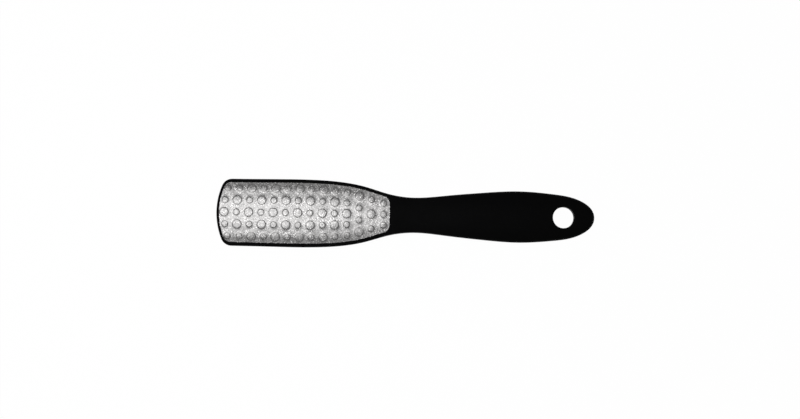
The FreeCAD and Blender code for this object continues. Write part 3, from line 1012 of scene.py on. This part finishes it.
def grit_tree():
    """Scatters grains over a sheet at a least distance, each turned, leaned and sized at random."""
    inputs = {
        "Grain": "Object", "Spacing": "Float", "Width": "Float", "Height": "Float",
        "Spread": "Float", "Lean": "Float", "Seed": "Int", "Material": "Material",
    }
    tree, given, made = start_tree("bonded_grit", inputs)
    scatter = add(tree, "GeometryNodeDistributePointsOnFaces", {"distribute_method": "POISSON"})
    area = math_node(tree, "MULTIPLY", given.outputs["Spacing"], given.outputs["Spacing"])
    density = math_node(tree, "DIVIDE", CANDIDATES_PER_GRAIN, area)
    tree.links.new(given.outputs["Geometry"], scatter.inputs["Mesh"])
    tree.links.new(given.outputs["Spacing"], scatter.inputs["Distance Min"])
    tree.links.new(density, scatter.inputs["Density Max"])
    tree.links.new(given.outputs["Seed"], scatter.inputs["Seed"])

    seed_x, seed_y, seed_turn, seed_size, seed_tone = (
        math_node(tree, "ADD", given.outputs["Seed"], float(k)) for k in range(1, 6)
    )
    rotation = leaning(tree, given, scatter.outputs["Rotation"], seed_x, seed_y, seed_turn)
    scale = sizing(tree, given, seed_size)
    crystal = add(tree, "GeometryNodeObjectInfo")
    tree.links.new(given.outputs["Grain"], crystal.inputs["Object"])
    grains = add(tree, "GeometryNodeInstanceOnPoints")
    tree.links.new(scatter.outputs["Points"], grains.inputs["Points"])
    tree.links.new(crystal.outputs["Geometry"], grains.inputs["Instance"])
    tree.links.new(rotation, grains.inputs["Rotation"])
    tree.links.new(scale, grains.inputs["Scale"])
    tone = random_value(tree, 0.0, 1.0, seed_tone)
    toned = store(tree, grains.outputs["Instances"], "INSTANCE", "tone", tone)

    crust = add(tree, "GeometryNodeRealizeInstances")
    tree.links.new(toned, crust.inputs["Geometry"])
    below = add(tree, "GeometryNodeSampleNearestSurface", {"data_type": "FLOAT"})
    tree.links.new(given.outputs["Geometry"], below.inputs["Mesh"])
    tree.links.new(noted_number(tree, "raised"), below.inputs["Value"])
    crust = store(tree, crust.outputs["Geometry"], "POINT", "raised", below.outputs["Value"])
    return end_tree(tree, crust, given, made)


GRIT = grit_tree()
print("grit tree with", len(GRIT.nodes), "nodes")

# %% [markdown]
# The two plates
#
# The frame's plates reach to the tips of their grit, so the sheet under the grit lies lower by the
# height of a grain. The pressed face is first made as a skin, which the grit is scattered on, and
# Solidify then gives the skin the thickness of the sheet, down to the back of the frame's plate.

# %% From a blank to a plate
BUMP_HEIGHT = 0.35 * MM
SKIRT_HEIGHT = 0.10 * MM
EDGE_SHARPNESS = math.radians(50)


def pressed_skin(name, bumps, marks, grain_height, facing, material):
    """The face of a plate under its grit, pressed and rolled, with no thickness yet."""
    skin = flat_blank(name, bumps, facing)
    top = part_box("front_file_plate")[1].z - BUMP_HEIGHT
    axis_height = top - CROWN if facing > 0 else plate_low.z + CROWN
    pressed = 1.0 if bumps else 0.0
    values = {
        "Marks": marks, "Shoulder Height": pressed * (BUMP_HEIGHT - SKIRT_HEIGHT),
        "Skirt Height": pressed * SKIRT_HEIGHT, "Skirt": PRESS_SKIRT, "Flare": PRESS_FLARE,
        "Shoulder": PRESS_SHOULDER, "Crown": CROWN - grain_height, "Axis Height": axis_height,
        "Facing": float(facing), "Material": material,
    }
    return run_tree(skin, PRESS, values)


def scattered_grit(name, skin, sizes, grain, material):
    """Grains all over a plate's face, as one mesh."""
    grit = bpy.data.objects.new(name, skin.data.copy())
    bpy.context.collection.objects.link(grit)
    return run_tree(grit, GRIT, {"Grain": grain, "Material": material, **sizes})


def thicken(skin, thickness):
    """Gives a skin the thickness of the sheet, away from its face."""
    solid = skin.modifiers.new("sheet", "SOLIDIFY")
    solid.thickness = thickness
    solid.offset = -1.0
    bake(skin)
    skin.data.set_sharp_from_angle(angle=EDGE_SHARPNESS)
    return skin


# %% Make the plates
SHEET = 0.5 * MM
COARSE_GRIT = {
    "Spacing": 0.60 * MM, "Width": 0.74 * MM, "Height": 0.12 * MM,
    "Spread": 0.30, "Lean": 0.15, "Seed": 11,
}
FINE_GRIT = {
    "Spacing": 0.46 * MM, "Width": 0.48 * MM, "Height": 0.08 * MM,
    "Spread": 0.35, "Lean": 0.14, "Seed": 23,
}
COARSE_GRAIN_SIDES = 5
FINE_GRAIN_SIDES = 4
FACING_UP = 1
FACING_DOWN = -1

marks = mark_object(BUMPS)
coarse_crystal = grain_object(COARSE_GRAIN_SIDES, COARSE_GRIT["Seed"])
fine_crystal = grain_object(FINE_GRAIN_SIDES, FINE_GRIT["Seed"])
coarse_height = COARSE_GRIT["Height"]
fine_height = FINE_GRIT["Height"]
coarse_plate = pressed_skin("coarse_plate", BUMPS, marks, coarse_height, FACING_UP, COARSE_NICKEL)
fine_plate = pressed_skin("fine_plate", [], marks, fine_height, FACING_DOWN, FINE_NICKEL)
coarse_grit = scattered_grit("coarse_grit", coarse_plate, COARSE_GRIT, coarse_crystal, COARSE_NICKEL)
fine_grit = scattered_grit("fine_grit", fine_plate, FINE_GRIT, fine_crystal, FINE_NICKEL)
thicken(coarse_plate, SHEET - coarse_height)
thicken(fine_plate, SHEET - fine_height)
for helper in (marks, coarse_crystal, fine_crystal):
    bpy.data.objects.remove(helper)
for piece in (coarse_plate, coarse_grit, fine_plate, fine_grit):
    piece.data.calc_loop_triangles()
    print(f"{piece.name}: {len(piece.data.loop_triangles)} triangles")

# %% [markdown]
# Fastening it all to the frame
#
# Nothing on this tool moves, so every piece rides on its one body. Each plate stands for the
# frame's plate, which is hidden but still there for the physics.

# %% Ride and replace
for piece, node, slot in (
    (coarse_plate, "front_file_plate", "coarse_nickel"),
    (coarse_grit, "front_file_plate", "coarse_nickel"),
    (fine_plate, "rear_file_plate", "fine_nickel"),
    (fine_grit, "rear_file_plate", "fine_nickel"),
):
    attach(piece, "root")
    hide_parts(node)
